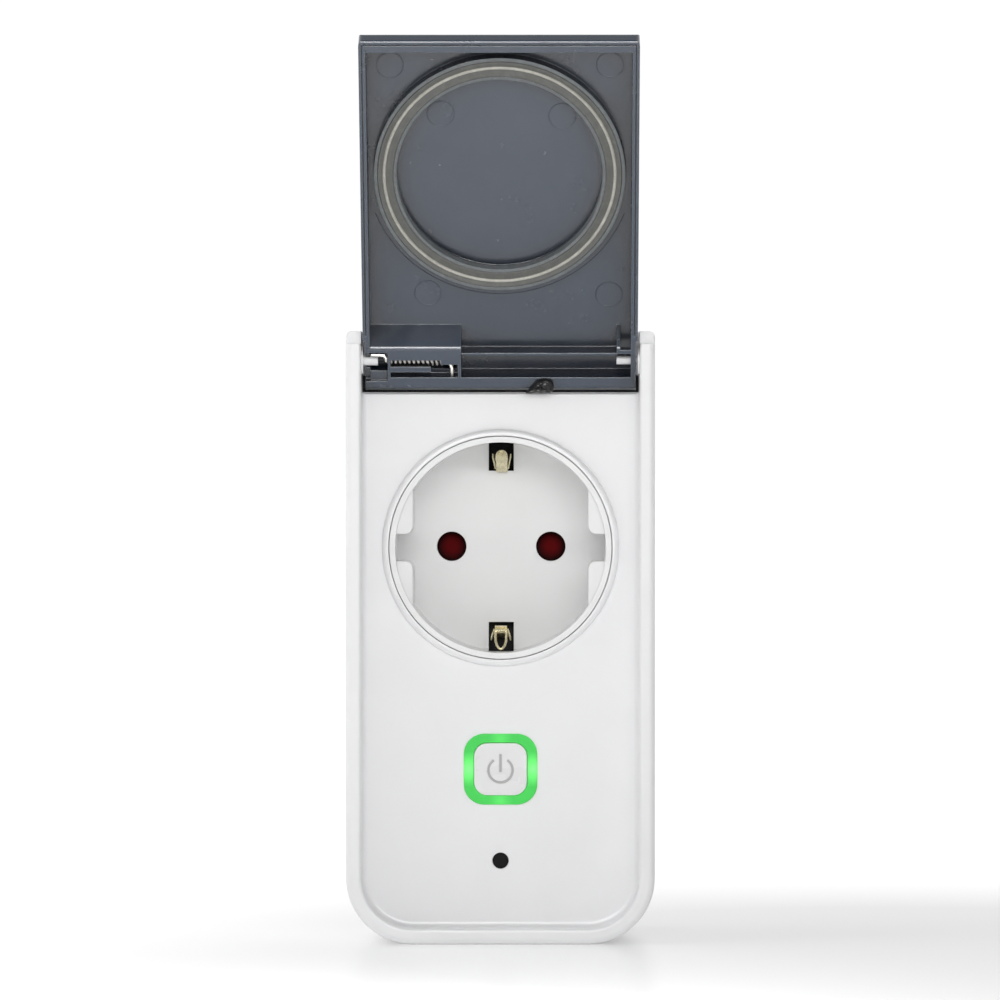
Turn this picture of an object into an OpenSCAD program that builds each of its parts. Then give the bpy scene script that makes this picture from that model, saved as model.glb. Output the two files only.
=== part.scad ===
// Outdoor smart plug: a switched, earthed 16 A socket behind a hinged weather lid,
// with a push button and a matching plug on its back.
// Frame: X across the face, Y from the face to the back, Z up. The origin is the
// centre of the flat lower end that the housing stands on. Millimetres.
// The lid is drawn fully open, which is its rest position.

/* [Housing] */
// Width of the housing
body_w = 58.2; // [57.8:0.1:59]
// Height of the housing, ears included
body_h = 115.4; // [115:0.1:117]
// Depth of the housing from the raised rim to the back face
body_d = 42.5; // [42.5:0.1:43.5]
// Thickness of the shell walls
wall = 2.2; // [2:0.1:2.4]
// Width of the raised rim round the face
rim_w = 2.9; // [2.8:0.1:3]
// How far the rim stands proud of the face
rim_proud = 6; // [5.9:0.1:6.2]
// Thickness of the face
face_t = 2; // [1.8:0.1:2]
// Radius of the lower corners
low_corner_r = 12.6; // [12:0.1:13]
// Radius of the upper corners
top_corner_r = 1.2; // [0.8:0.1:1.5]
// Height of the upper edge of the face, where the hinge pocket starts
face_top = 104; // [103.6:0.1:104]

/* [Socket] */
// Height of the socket's centre
socket_z = 74.6; // [74:0.1:75]
// Radius of the round recess
recess_r = 19.9; // [19.5:0.1:20]
// Depth of the recess from the collar's front
recess_depth = 17.5; // [17.3:0.1:17.6]
// Distance between the two pin axes
pin_pitch = 19; // [18.9:0.05:19.1]
// Radius of the holes in the recess floor
pin_hole_r = 2.83; // [2.7:0.01:2.85]
// Half distance between the keying ribs
key_half_gap = 16.6; // [16.5:0.1:16.8]

/* [Plug] */
// Radius of the plug boss on the back
boss_r = 18.7; // [18.5:0.1:18.8]
// Length of the plug boss
boss_len = 17; // [16.8:0.1:17.2]
// Radius of a plug pin
pin_r = 2.4; // [2.36:0.01:2.4]
// Length of a plug pin
pin_len = 19; // [18.5:0.1:19.5]

/* [Lid] */
// Angle that the open lid leans towards the front, from upright
lid_lean = 26; // [24:1:28]
// Height of the hinge axis
hinge_z = 110; // [109.8:0.1:110.2]
// Distance from the hinge axis to the free end of the lid
lid_reach = 65.5; // [65:0.1:66]
// Width of the lid
lid_w = 51.7; // [51.5:0.1:51.8]
// Distance from the hinge axis to the centre of the seal ring
seal_reach = 38.05; // [37.8:0.05:38.2]

/* [Button] */
// Height of the button's centre
button_z = 32.7; // [32:0.1:33]
// Height of the round window's centre
window_z = 15.4; // [15:0.1:16]
// Travel of the button
button_travel = 0.5; // [0.3:0.1:0.5]

/* [Hidden] */
$fn = 96;

// Depths, from front to back
front_y = -body_d / 2;
back_y = body_d / 2;
face_y = front_y + rim_proud;
face_back = face_y + face_t;
split_y = 8;
back_in = back_y - wall;
pocket_y = face_y + 4.4;
pocket_back = pocket_y + 2;
half_in = body_w / 2 - rim_w;

// Sealing strip behind the upper edge of the face
strip_y = [face_y + 0.5, face_y + 3];
strip_half = half_in - 0.1;

// Rim
edge_r = 1.2;
inner_edge_r = 0.6;
foot_r = 1;
ear_step_z = 113;

// Socket
collar_proud = 1.5;
collar_r = 22.4;
cup_hole_r = 21.15;
cup_r = 21;
cup_front = face_y - collar_proud;
floor_y = cup_front + recess_depth;
floor_back = floor_y + 2.4;
pin_x = pin_pitch / 2;
earth_in = 14.5;
earth_half_w = 2.4;
pivot_r = 1.4;
rotor_y = [floor_back + 0.15, floor_back + 1.4];
plate_y = [floor_back + 2.85, floor_back + 4.05];
plate_r = 14.4;

// Contacts and plug
sleeve_y = [floor_back + 4.65, floor_back + 13.85];
bridge_y = [floor_back + 4.35, floor_back + 4.95];
boss_end = back_y + boss_len;
boss_plate = 3;
boss_in = boss_end - boss_plate;
pin_neck_r = pin_r - 0.3;
french_z = socket_z + 10;

// Circuit boards
main_y = [12, 13.6];
main_z = [16.5, 51];
main_half = 24.5;
small_y = [-7, -5.8];
small_z = [12.5, 47.5];
small_half = 14;
board_posts = [[-21, 20], [21, 20], [-22, 48.5], [22, 48.5]];
stake_posts = [[-11.5, 16], [11.5, 16], [-11.5, 44], [11.5, 44]];
low_screws = [[-19, 12], [19, 12]];
high_screws = [[-21, 105.5], [21, 105.5]];
wire_r = 1.1;

// Button
button_w = 9.95;
button_h = 9.85;
ring_w = 13.8;
ring_h = 13.3;
ring_in_w = 10.25;
ring_in_h = 10.15;
cap_front = face_y - 0.3;
flange_y = [-12.25, -11.6];
switch_y = [-10.5, -7];
switch_pit = switch_y[1] - 1.1;

// Lid, in its own plane: v runs from the hinge axis to the free end (local +Z),
// n runs from the lid's outer side to its open side (local -Y)
hinge_y = face_y - 2.5;
rim_n = 2.2;
floor_n = -1.8;
outer_n = -3.4;
tail_v = -5;
tail_in_v = -2.6;
end_in_v = lid_reach - 2.3;
side_t = 1.3;
lid_half = lid_w / 2;
lid_in = lid_half - side_t;
hinge_half = lid_half - 0.4;
barrel_x = [-lid_in, -7.4];
window_x = [-21.2, -8];
window_step_x = -11.2;
bracket_x = [21.9, 22.55];
slope_turn = 51.2;
slope_r = 0.9;
groove_in = 0.5;
groove_w = 0.25;
peg_left_r = 1;
peg_right_r = 0.8;
channel_r = [19.2, 19.9, 22.7, 23.4];
coil_r = 1.07;
coil_wire_r = 0.42;
coil_pitch = 0.82;
coil_turns = 12;
coil_x = -20.7;

WHITE = [0.93, 0.93, 0.93];
GREY = [0.31, 0.33, 0.36];
NICKEL = [0.78, 0.77, 0.74];

// ---------- helpers ----------

// An X-Z outline, drawn from depth y0 to depth y1
module slab(y0, y1)
    translate([0, y1, 0]) rotate([90, 0, 0]) linear_extrude(y1 - y0) children();

module rod_y(x, z, r, y0, y1)
    translate([x, y1, z]) rotate([90, 0, 0]) cylinder(r = r, h = y1 - y0);

module rod_x(y, z, r, x0, x1)
    translate([x0, y, z]) rotate([0, 90, 0]) cylinder(r = r, h = x1 - x0);

module block(x, y, z)
    translate([x[0], y[0], z[0]]) cube([x[1] - x[0], y[1] - y[0], z[1] - z[0]]);

// A rectangle with round corners, centred at height z
module round_rect(w, h, r, z) translate([0, z]) {
    square([w - 2 * r, h], center = true);
    square([w, h - 2 * r], center = true);
    for (x = [-1, 1], y = [-1, 1]) translate([x * (w / 2 - r), y * (h / 2 - r)]) circle(r);
}

// The housing's outline from the front, moved inwards by a distance
module outline(inset) {
    half = body_w / 2 - inset;
    low = low_corner_r - inset;
    top = max(top_corner_r - inset, 0.3);
    top_z = body_h - inset;
    translate([-half, inset + low]) square([2 * half, top_z - top - inset - low]);
    translate([low - half, inset]) square([2 * (half - low), low]);
    translate([top - half, top_z - top - 1]) square([2 * (half - top), top + 1]);
    for (s = [-1, 1]) {
        translate([s * (half - low), inset + low]) circle(low);
        translate([s * (half - top), top_z - top]) circle(top);
    }
}

// What is left of a square corner outside a circle of radius r, for rounding an edge
module corner(x, y, r, sx, sy) translate([x, y]) scale([sx, sy]) difference() {
    translate([-1, -1]) square(r + 1);
    translate([r, r]) circle(r);
}

// ---------- front housing ----------

// Section of the side wall and rim: x is the distance from the outside, y the depth
module rim_section(foot) difference() {
    union() {
        translate([0, front_y]) square([rim_w, rim_proud + face_t]);
        translate([0, front_y]) square([wall, split_y - front_y]);
        if (foot) translate([rim_w - 0.2, face_y - foot_r]) square([foot_r + 0.2, foot_r + 0.5]);
    }
    corner(0, front_y, edge_r, 1, 1);
    corner(rim_w, front_y, inner_edge_r, -1, 1);
    if (foot) translate([rim_w + foot_r, face_y - foot_r]) circle(foot_r);
}

module rim_side() {
    translate([-body_w / 2, 0, low_corner_r]) linear_extrude(face_top - low_corner_r) rim_section(true);
    translate([-body_w / 2, 0, face_top]) linear_extrude(body_h - face_top) rim_section(false);
    translate([low_corner_r - body_w / 2, 0, low_corner_r]) rotate([90, 180, 0])
        rotate_extrude(angle = 90) translate([low_corner_r, 0]) mirror([1, 0]) mirror([0, 1])
            rim_section(true);
}

module rim_bottom() {
    length = body_w - 2 * low_corner_r;
    translate([-length / 2, 0, 0]) rotate([0, 90, 0]) linear_extrude(length)
        mirror([1, 0]) rim_section(true);
}

module collar() translate([0, 0, socket_z]) rotate([90, 0, 0]) rotate_extrude() difference() {
    translate([cup_hole_r, -face_back]) square([collar_r - cup_hole_r, face_back - cup_front]);
    corner(collar_r, -cup_front, 1, -1, -1);
}

module hinge_pegs() {
    rod_x(hinge_y, hinge_z, peg_left_r, -half_in - 1, -23.1);
    rod_x(hinge_y, hinge_z, peg_right_r, bracket_x[0], half_in + 1);
    for (s = [-1, 1]) rod_x(hinge_y, hinge_z, 2.6, s * half_in - 0.35, s * half_in + 0.35);
}

module front_housing() color(WHITE) difference() {
    union() {
        for (s = [0, 1]) mirror([s, 0, 0]) rim_side();
        rim_bottom();
        slab(face_y, face_back) intersection() {
            outline(1);
            translate([-body_w / 2, 0]) square([body_w, face_top]);
        }
        block([1 - body_w / 2, body_w / 2 - 1], [face_y, pocket_back], [face_top - 2.6, face_top]);
        block([1 - body_w / 2, body_w / 2 - 1], [pocket_y, pocket_back], [face_top - 2.6, body_h]);
        block([1 - body_w / 2, body_w / 2 - 1], [pocket_y, split_y], [body_h - wall, body_h]);
        collar();
        hinge_pegs();
        for (p = low_screws) rod_y(p[0], p[1], 3.2, face_y + 1, split_y);
        for (p = high_screws) rod_y(p[0], p[1], 3.2, pocket_y + 1, split_y);
        for (p = stake_posts) {
            rod_y(p[0], p[1], 1.8, face_y + 1, small_y[0]);
            rod_y(p[0], p[1], 1, face_y + 1, small_y[1] + 0.4);
        }
    }
    // upper corners, and the step near the top of each ear
    slab(front_y - 1, split_y + 1) for (s = [-1, 1])
        corner(s * body_w / 2, body_h, top_corner_r, -s, -1);
    for (s = [-1, 1]) translate([s * body_w / 2, front_y, ear_step_z + 2]) cube([8, 1, 4], center = true);
    // upper edge of the face
    translate([0, face_y, face_top]) rotate([45, 0, 0]) cube([2 * half_in, 0.6, 0.6], center = true);
    block([-strip_half, strip_half], strip_y, [face_top - 1.2, face_top + 1]);
    rod_y(0, socket_z, cup_hole_r, front_y, face_back + 1);
    slab(front_y, face_back + 1) round_rect(ring_w + 0.1, ring_h + 0.1, 3.85, button_z);
    rod_y(0, window_z, 1.55, front_y, face_back + 1);
    for (p = concat(low_screws, high_screws)) rod_y(p[0], p[1], 1.2, -6, split_y + 1);
    // shadow line where the shells meet
    slab(split_y - 0.25, split_y + 1) difference() { outline(-1); outline(0.3); }
}

// ---------- rear housing ----------

module boss_outline(inset) translate([0, socket_z]) {
    intersection() {
        circle(boss_r - inset);
        square([2 * (key_half_gap - 0.3 - inset), 2 * boss_r], center = true);
    }
    intersection() {
        circle(boss_r - inset);
        square([2 * boss_r, 4.8 - inset], center = true);
    }
}

module rear_housing() color(WHITE) difference() {
    union() {
        hull() {
            slab(split_y, back_y - 1.6) outline(0, $fn = 32);
            slab(split_y, back_y) outline(1.6, $fn = 32);
        }
        slab(back_y - 1, boss_end) boss_outline(0);
    }
    difference() {
        slab(split_y - 1, back_in) outline(wall);
        for (p = concat(low_screws, high_screws)) rod_y(p[0], p[1], 3.4, split_y, back_y);
        for (p = board_posts) rod_y(p[0], p[1], 2.6, main_y[1], back_y);
    }
    slab(back_in - 1, boss_in) intersection() {
        translate([0, socket_z]) circle(boss_r - wall);
        translate([0, socket_z]) square([2 * (key_half_gap - 0.3 - wall), 2 * boss_r], center = true);
    }
    for (p = concat(low_screws, high_screws)) {
        rod_y(p[0], p[1], 1.65, split_y - 1, back_y);
        rod_y(p[0], p[1], 3.05, 17.25, back_y + 1);
    }
    for (p = board_posts) rod_y(p[0], p[1], 1, main_y[1] - 1, back_in);
    for (s = [-1, 1]) rod_y(s * pin_x, socket_z, pin_neck_r, boss_in - 1, boss_end + 1);
    rod_y(0, french_z, 2.6, boss_in - 1, boss_end + 1);
    // grooves and slots for the side earth strips
    for (s = [0, 1]) translate([0, 0, socket_z]) mirror([0, 0, s]) {
        block([-3.1, 3.1], [back_y + 2, boss_end + 1], [17.65, 20]);
        block([-3.05, 3.05], [33.15, 34.05], [14, 18]);
    }
    // groove for the foam ring, groove for the cord seal, shadow line
    slab(back_y - 1, back_y + 1) translate([0, socket_z]) difference() { circle(24); circle(20); }
    slab(split_y - 1, split_y + 0.9) difference() { outline(0.6); outline(1.6); }
    slab(split_y - 1, split_y + 0.25) difference() { outline(-1); outline(0.3); }
}

// Strip that the lid's hinge edge passes over, turned up at both ends
module hinge_strip() color([0.07, 0.07, 0.07]) difference() {
    union() {
        block([0.05 - strip_half, strip_half - 0.05], strip_y, [face_top - 1.2, face_top + 0.4]);
        for (s = [0, 1]) mirror([s, 0, 0])
            block([hinge_half + 0.15, strip_half - 0.05], strip_y, [face_top, face_top + 3.2]);
    }
    for (y = [-0.7, 0.7]) translate([0, (strip_y[0] + strip_y[1]) / 2 + y, face_top + 0.4])
        rotate([45, 0, 0]) cube([2 * hinge_half, 0.3, 0.3], center = true);
}

// Cord seal between the two shells
module housing_seal() color([0.2, 0.2, 0.2])
    slab(split_y, split_y + 0.9) difference() { outline(0.65); outline(1.55); }

module wall_seal() color([0.15, 0.15, 0.15])
    slab(back_y - 1, back_y + 0.9) translate([0, socket_z]) difference() { circle(23.9); circle(20.1); }

module housing_screws() color([0.6, 0.6, 0.62]) for (p = concat(low_screws, high_screws)) difference() {
    union() {
        rod_y(p[0], p[1], 2.8, 17.25, 19.1);
        rod_y(p[0], p[1], 1.5, split_y, 17.3);
        rod_y(p[0], p[1], 1.2, -5, split_y + 0.1);
    }
    for (a = [0, 90]) translate([p[0], 19.1, p[1]]) rotate([0, a, 0]) cube([3.2, 1.6, 0.6], center = true);
}

module screw_caps() color([0.85, 0.85, 0.85])
    for (p = concat(low_screws, high_screws)) rod_y(p[0], p[1], 3, 19.2, back_y);

// ---------- socket ----------

// Keying ribs on both sides of the recess, with a gap between the upper and lower one
module key_ribs() translate([0, socket_z]) for (a = [0, 1], b = [0, 1]) mirror([a, 0]) mirror([0, b]) {
    translate([key_half_gap + 1.5, 2.6]) square([3, 10]);
    translate([key_half_gap, 4.1]) square([4, 9]);
    translate([key_half_gap + 1.5, 4.1]) circle(1.5);
}

module socket_insert() color(WHITE) {
    difference() {
        union() {
            rod_y(0, socket_z, cup_r, cup_front, floor_back);
            rod_y(0, socket_z, 23.5, face_back, face_back + 1.2);
        }
        difference() {
            rod_y(0, socket_z, recess_r, cup_front - 1, floor_y);
            slab(cup_front + 1.2, floor_back) key_ribs();
        }
        for (s = [-1, 1]) rod_y(s * pin_x, socket_z, pin_hole_r, floor_y - 1, floor_back + 1);
        for (s = [0, 1]) translate([0, 0, socket_z]) mirror([0, 0, s])
            block([-earth_half_w, earth_half_w], [floor_y - 11, floor_back + 1],
                [earth_in, recess_r + 0.25]);
    }
    rod_y(0, socket_z, pivot_r, floor_back - 0.5, plate_y[1]);
}

// Rotor that covers both pin holes until two pins push it aside together
module shutter() color([0.4, 0.02, 0.03]) slab(rotor_y[0], rotor_y[1]) translate([0, socket_z])
    difference() {
        union() {
            square([pin_pitch, 5], center = true);
            circle(3.4);
            for (s = [-1, 1]) translate([s * pin_x, 0]) circle(3.4);
        }
        circle(pivot_r + 0.06);
    }

module shutter_plate() color([0.85, 0.85, 0.82]) difference() {
    rod_y(0, socket_z, plate_r, floor_back, plate_y[1]);
    rod_y(0, socket_z, plate_r - 1.1, floor_back - 1, plate_y[0]);
    rod_y(0, socket_z, pivot_r + 0.02, floor_back, plate_y[1] + 1);
    for (s = [-1, 1]) rod_y(s * pin_x, socket_z, 2.7, floor_back, plate_y[1] + 1);
}

module shutter_spring() color(NICKEL) translate([0, 0, socket_z]) {
    for (y = [1.9, 2.35]) translate([0, floor_back + y, 0]) rotate([90, 0, 0])
        rotate_extrude() translate([2.2, 0]) circle(0.25);
    block([0, 9], [floor_back + 2.15, floor_back + 2.55], [2, 2.4]);
}

// One tongue of the earth strip: a thin band that bends inwards for the plug's side strip
module earth_tongue() rotate([90, 0, 90]) translate([0, 0, -1.5]) linear_extrude(3) polygon([
    [bridge_y[1], 18.2], [-3, 18.2], [-7.5, 16.2], [-11, 18.2],
    [-11.3, 17.8], [-7.5, 15.6], [-3.2, 17.6], [bridge_y[1], 17.6]
]);

module earth_contact() color(NICKEL) translate([0, 0, socket_z]) {
    block([-2, 2], bridge_y, [-18.2, 18.2]);
    for (s = [0, 1]) mirror([0, 0, s]) earth_tongue();
}

// Split sleeve that grips a pin, with a tail down to the circuit board
module contact(side) mirror([side, 0, 0]) color([0.8, 0.65, 0.3]) difference() {
    union() {
        rod_y(-pin_x, socket_z, 3.1, sleeve_y[0], sleeve_y[1]);
        block([-6.9, -5.2], [sleeve_y[0] + 0.2, sleeve_y[0] + 0.8], [main_z[1] - 1.6, socket_z + 1]);
        block([-6.9, -5.2], [sleeve_y[0] + 0.2, main_y[0]], [main_z[1] - 1.6, main_z[1] - 1]);
    }
    rod_y(-pin_x, socket_z, 2.5, sleeve_y[0] - 1, sleeve_y[1] + 1);
    block([-14, -pin_x], [sleeve_y[0] - 1, sleeve_y[1] + 1], [socket_z - 0.5, socket_z + 0.5]);
}

module contact_live() contact(0);
module contact_neutral() contact(1);

// ---------- plug ----------

module plug_pin(side) color(NICKEL) translate([side * pin_x, 0, socket_z]) rotate([-90, 0, 0]) {
    translate([0, 0, boss_in]) cylinder(r = pin_neck_r, h = boss_plate + 1);
    translate([0, 0, boss_end + 0.3]) cylinder(r = pin_r, h = pin_len - 1.8);
    translate([0, 0, boss_end + pin_len - 1.5]) cylinder(r1 = pin_r, r2 = 1.2, h = 1.5);
    translate([0, 0, boss_in - 2.2]) cylinder(r = 3.4, h = 2.2);
    translate([0, 0, 30]) cylinder(r = 1.6, h = boss_in - 32.2);
}

module plug_pin_live() plug_pin(-1);
module plug_pin_neutral() plug_pin(1);

module plug_earth() color(NICKEL) translate([0, 0, socket_z]) difference() {
    union() {
        block([-3, 3], [33.2, 34], [-18.4, 18.4]);
        for (s = [0, 1]) mirror([0, 0, s]) block([-3, 3], [back_y + 2.5, boss_end - 0.6], [17.7, 18.5]);
    }
    rod_y(0, french_z - socket_z, 2.5, 32, 35);
}

// Quarter bend in a Y-Z plane round (y, z), starting at angle a from +Y towards +Z
module bend(y, z, radius, a) translate([0, y, z]) rotate([90, 0, 90]) rotate([0, 0, a])
    rotate_extrude(angle = 90) translate([radius, 0]) circle(wire_r);

module rod_z(y, z0, z1) translate([0, y, z0]) cylinder(r = wire_r, h = z1 - z0);

// Insulated wire from a plug pin's tail, out of the boss and down to the circuit board
module pin_wire(side) translate([side * pin_x, 0, 0]) {
    rod_y(0, socket_z, wire_r, 25.5, 30);
    bend(25.5, socket_z - 3.5, 3.5, 90);
    rod_z(22, 68, socket_z - 3.5);
    bend(18.5, 68, 3.5, 270);
    rod_y(0, 64.5, wire_r, 13.5, 18.5);
    bend(13.5, 61, 3.5, 90);
    rod_z(10, 50.3, 61);
    bend(main_y[0], 50.3, 2, 180);
}

module wire_live() color([0.4, 0.22, 0.12]) pin_wire(-1);
module wire_neutral() color([0.1, 0.25, 0.7]) pin_wire(1);
module wire_earth() color([0.35, 0.65, 0.15]) rod_y(0, socket_z - 5, wire_r, bridge_y[1], 33.2);

// ---------- lid ----------

// Moves a shape from the lid's own plane to its open place on the housing
module on_hinge() translate([0, hinge_y, hinge_z]) rotate([lid_lean, 0, 0]) children();

// A box in the lid's plane, from its ranges along x, v and n
module lid_box(x, v, n) block(x, [-n[1], -n[0]], v);

// A profile drawn as (n, v), stretched along x
module along_x(x) translate([x[0], 0, 0]) rotate([90, 0, 90]) linear_extrude(x[1] - x[0])
    mirror([1, 0]) children();

module lid_profile() difference() {
    translate([outer_n, tail_v]) square([rim_n - outer_n, lid_reach - tail_v]);
    corner(outer_n, tail_v, 3, 1, 1);
    corner(outer_n, lid_reach, 3, 1, -1);
    corner(rim_n, tail_v, 0.5, -1, 1);
    corner(rim_n, lid_reach, 0.5, -1, -1);
}

// Sloped housing round the spring, and the same slope on the small bracket
module wedge(low_v) polygon(concat(
    [[floor_n - 0.5, low_v], [floor_n - 0.5, 7], [floor_n, 6.6]],
    [for (a = [slope_turn : -slope_turn / 4 : -1])
        [rim_n - slope_r + slope_r * cos(a), 3 + slope_r * sin(a)]],
    [[rim_n, low_v]]
));

module spring_barrel() difference() {
    along_x(barrel_x) wedge(tail_in_v - 0.5);
    rod_x(0, 0, 1.75, barrel_x[0] - 1, window_x[1] - 0.2);
    lid_box([window_x[0], window_step_x], [tail_in_v, 0.95], [0, rim_n + 1]);
    lid_box([window_step_x - 0.1, window_x[1]], [tail_in_v, 0.05], [0, rim_n + 1]);
    lid_box([barrel_x[0] - 1, window_x[0]], [-1.45, 2.5], [floor_n, rim_n + 1]);
}

// Bar that crosses the open front of the barrel and keeps the spring in
module spring_keeper() {
    lid_box([window_x[0], -13.1], [-1.5, -0.4], [1.62, rim_n]);
    lid_box([window_x[0], window_x[0] + 0.5], [tail_in_v - 0.5, 1.2], [1.62, rim_n]);
}

module lid_bracket() {
    along_x(bracket_x) wedge(2.25);
    lid_box([bracket_x[0], lid_in + 0.5], [2.25, 3.1], [1, rim_n]);
}

module seal_channel() translate([0, 0, seal_reach]) rotate([90, 0, 0]) for (i = [0, 2]) difference() {
    translate([0, 0, floor_n - 0.5]) cylinder(r = channel_r[i + 1], h = 2.8);
    translate([0, 0, floor_n - 1]) cylinder(r = channel_r[i], h = 4);
}

module lid() color(GREY) on_hinge() difference() {
    union() {
        difference() {
            along_x([-lid_half, lid_half]) lid_profile();
            lid_box([-lid_in, lid_in], [tail_in_v, end_in_v], [floor_n, rim_n + 1]);
        }
        spring_barrel();
        spring_keeper();
        lid_bracket();
        lid_box([barrel_x[1] - 0.2, bracket_x[0] + 0.2], [1.5, 2], [floor_n - 0.5, 1.2]);
        seal_channel();
    }
    // room beside the ears near the hinge
    for (s = [0, 1]) mirror([s, 0, 0]) lid_box([hinge_half, lid_half + 1], [tail_v - 1, 5], [-5, 5]);
    // open seat for the left peg, hole for the right one
    rod_x(0, 0, peg_left_r + 0.05, -lid_half - 1, window_x[0] - 1);
    lid_box([-lid_half - 1, window_x[0] - 1], [-peg_left_r - 0.05, peg_left_r + 0.05], [0, rim_n + 1]);
    lid_box([-lid_half - 1, -lid_in + 0.1], [-3.4, 2.5], [0.9, rim_n + 1]);
    lid_box([-lid_in, window_x[0]], [-3.3, -1.4], [1.6, rim_n + 1]);
    rod_x(0, 0, peg_right_r + 0.05, lid_in - 1, lid_half + 1);
    // fine groove near the outer edge of the rim
    for (s = [0, 1]) mirror([s, 0, 0])
        lid_box([lid_half - groove_in - groove_w, lid_half - groove_in], [6, lid_reach - 0.7],
            [rim_n - 0.3, rim_n + 1]);
    lid_box([groove_in - lid_half, lid_half - groove_in], [lid_reach - 0.7 - groove_w, lid_reach - 0.7],
        [rim_n - 0.3, rim_n + 1]);
    // rounded free corners
    rotate([90, 0, 0]) linear_extrude(20, center = true) for (s = [-1, 1])
        corner(s * lid_half, lid_reach, 1, -s, -1);
}

module lid_seal() color([0.55, 0.53, 0.48]) on_hinge() translate([0, 0, seal_reach]) rotate([90, 0, 0])
    rotate_extrude() difference() {
        union() {
            translate([channel_r[1] + 0.02, floor_n]) square([channel_r[2] - channel_r[1] - 0.04, 2.1]);
            translate([21.45, 0.3]) circle(0.4);
        }
        for (r = [20.7, 22.2]) translate([r, 0.45]) circle(0.35);
    }

module lid_spring() color(NICKEL) on_hinge() {
    for (i = [0 : coil_turns - 1]) translate([coil_x + i * coil_pitch, 0, 0]) rotate([0, 90, 0])
        rotate_extrude() translate([coil_r, 0]) circle(coil_wire_r);
    // left leg, up beside the peg and out towards the ear
    lid_box([coil_x - 1.1, coil_x], [0.6, 1.1], [0.6, 1.1]);
    lid_box([coil_x - 1.1, coil_x - 0.6], [0.6, 1.7], [0.6, 1.6]);
    lid_box([-24.3, coil_x - 0.7], [1.2, 1.7], [1.1, 1.6]);
    // right leg, along the barrel and down to the hinge wall
    lid_box([coil_x + (coil_turns - 1) * coil_pitch, -9], [-1.1, -0.5], [0.5, 1.1]);
    lid_box([-9.6, -9], [tail_in_v + 0.05, -0.5], [0.5, 1.5]);
}

module lid_buffer() color([0.06, 0.06, 0.06]) on_hinge() intersection() {
    hull() for (x = [6.5, 8.5]) translate([x, -rim_n, -3.9]) sphere(1.3, $fn = 32);
    lid_box([0, 15], [-8, 0], [rim_n, 6]);
}

// ---------- button ----------

module power_sign() translate([0, 32.5 - button_z]) {
    difference() {
        circle(2.5);
        circle(2.07);
        polygon([[0, 0], [-2, 3], [2, 3]]);
    }
    translate([-0.22, -0.3]) square([0.44, 3.35]);
}

module button_cap() color([0.96, 0.96, 0.96]) difference() {
    union() {
        slab(cap_front, flange_y[0] + 0.1) round_rect(button_w, button_h, 2.5, button_z);
        slab(flange_y[0], flange_y[1]) round_rect(11.4, 11.3, 3, button_z);
    }
    slab(cap_front - 1, cap_front + 0.25) translate([0, button_z]) power_sign();
}

module button_sign() color([0.68, 0.68, 0.68])
    slab(cap_front - 0.03, cap_front + 0.25) translate([0, button_z]) power_sign();

module switch_plunger() color([0.1, 0.1, 0.1])
    rod_y(0, button_z, 1.7, flange_y[1], switch_pit - button_travel - 0.3);

module light_ring() color([0.3, 0.85, 0.35]) difference() {
    union() {
        slab(face_y - 0.15, -12.4) round_rect(ring_w, ring_h, 3.8, button_z);
        slab(-12.95, -12.35) round_rect(ring_w + 2.4, ring_h + 2.4, 4.8, button_z);
    }
    slab(front_y, 0) round_rect(ring_in_w, ring_in_h, 2.65, button_z);
}

module button_seal() color([0.25, 0.25, 0.25]) slab(face_back, -12.95) difference() {
    round_rect(ring_w + 2.4, ring_h + 2.4, 4.8, button_z);
    round_rect(ring_w + 0.2, ring_h + 0.2, 3.9, button_z);
}

module indicator_window() color([0.03, 0.03, 0.03]) {
    rod_y(0, window_z, 1.5, face_y - 0.05, face_back + 0.1);
    rod_y(0, window_z, 2.4, face_back, face_back + 0.65);
}

// ---------- circuit boards ----------

module front_board() color([0.05, 0.3, 0.15]) difference() {
    block([-small_half, small_half], small_y, small_z);
    for (p = stake_posts) rod_y(p[0], p[1], 1.05, small_y[0] - 1, small_y[1] + 1);
}

module tact_switch() color([0.2, 0.2, 0.22]) difference() {
    block([-3, 3], switch_y, [button_z - 3, button_z + 3]);
    rod_y(0, button_z, 1.78, switch_y[0] - 1, switch_pit);
}

module ring_leds() color([0.95, 0.95, 0.8]) for (p = [[-6.1, 0], [6.1, 0], [0, 5.9], [0, -5.9]])
    translate([p[0] - 0.8, small_y[0] - 0.7, button_z + p[1] - 0.4]) cube([1.6, 0.7, 0.8]);

module radio_module() color([0.7, 0.7, 0.72]) {
    block([-8, 8], [small_y[1], small_y[1] + 0.8], [19, 43]);
    block([-6.5, 6.5], [small_y[1] + 0.7, small_y[1] + 2.8], [21, 37]);
}

module main_board() color([0.05, 0.3, 0.15]) difference() {
    block([-main_half, main_half], main_y, main_z);
    for (p = board_posts) rod_y(p[0], p[1], 1.2, main_y[0] - 1, main_y[1] + 1);
}

module board_screws() color([0.6, 0.6, 0.62]) for (p = board_posts) {
    rod_y(p[0], p[1], 2, main_y[0] - 1.2, main_y[0]);
    rod_y(p[0], p[1], 1, main_y[0] - 0.1, 18);
}

module relay() color([0.1, 0.25, 0.6]) block([-23, -4], [-2.8, main_y[0]], [23, 38]);

module transformer() color([0.85, 0.75, 0.2]) {
    block([5, 21], [0.5, main_y[0]], [26, 34]);
    block([8, 18], [0, main_y[0]], [23, 37]);
}

module filter_capacitor() color([0.85, 0.8, 0.2]) block([-23, -5], [0, main_y[0]], [39.5, 45.5]);

module bulk_capacitor() color([0.1, 0.1, 0.15]) rod_y(9, 43, 4, -2, main_y[0]);

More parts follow.
